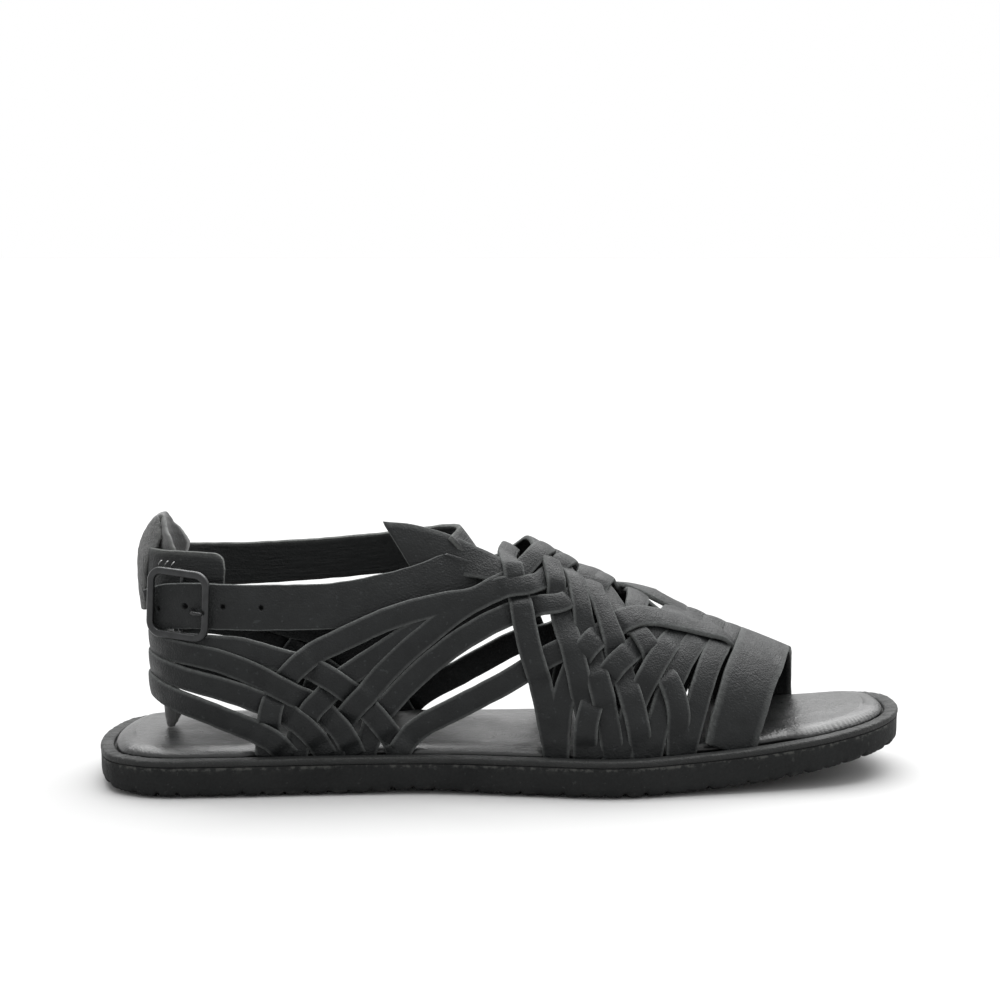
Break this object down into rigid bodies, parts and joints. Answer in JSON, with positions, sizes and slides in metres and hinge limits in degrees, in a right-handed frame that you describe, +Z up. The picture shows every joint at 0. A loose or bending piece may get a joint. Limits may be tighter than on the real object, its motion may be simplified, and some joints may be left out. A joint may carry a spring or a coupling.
{
  "type": "sandal",
  "caption": "Open-toe sandal with a woven-strap upper, toe band, buckled ankle strap, padded insole and flat rubber sole, right foot.",
  "frame": {"origin": "centre of the bounding box, on the ground under the sole", "axes": "+X towards the toe, +Y towards the inner (big-toe) side, +Z up"},
  "size_m": [0.2898, 0.0926, 0.0949],
  "materials": {
    "outsole_rubber": "matt moulded rubber with a fine speckle",
    "board_leather": "matt wrapped leather rim",
    "insole_leather": "satin padded leather",
    "strap_leather": "satin grain leather with lighter cut edges",
    "tab_suede": "soft nubuck with a rough edge",
    "buckle_metal": "black satin lacquer"
  },
  "bodies": {
    "root": {"outsole": "outsole_rubber", "footbed_board": "board_leather", "insole": "insole_leather", "upper": "strap_leather", "ankle_strap_front": "strap_leather", "ankle_strap_back": "strap_leather", "heel_tab": "tab_suede", "buckle_frame": "buckle_metal", "buckle_prong": "buckle_metal"}
  },
  "joints": []
}
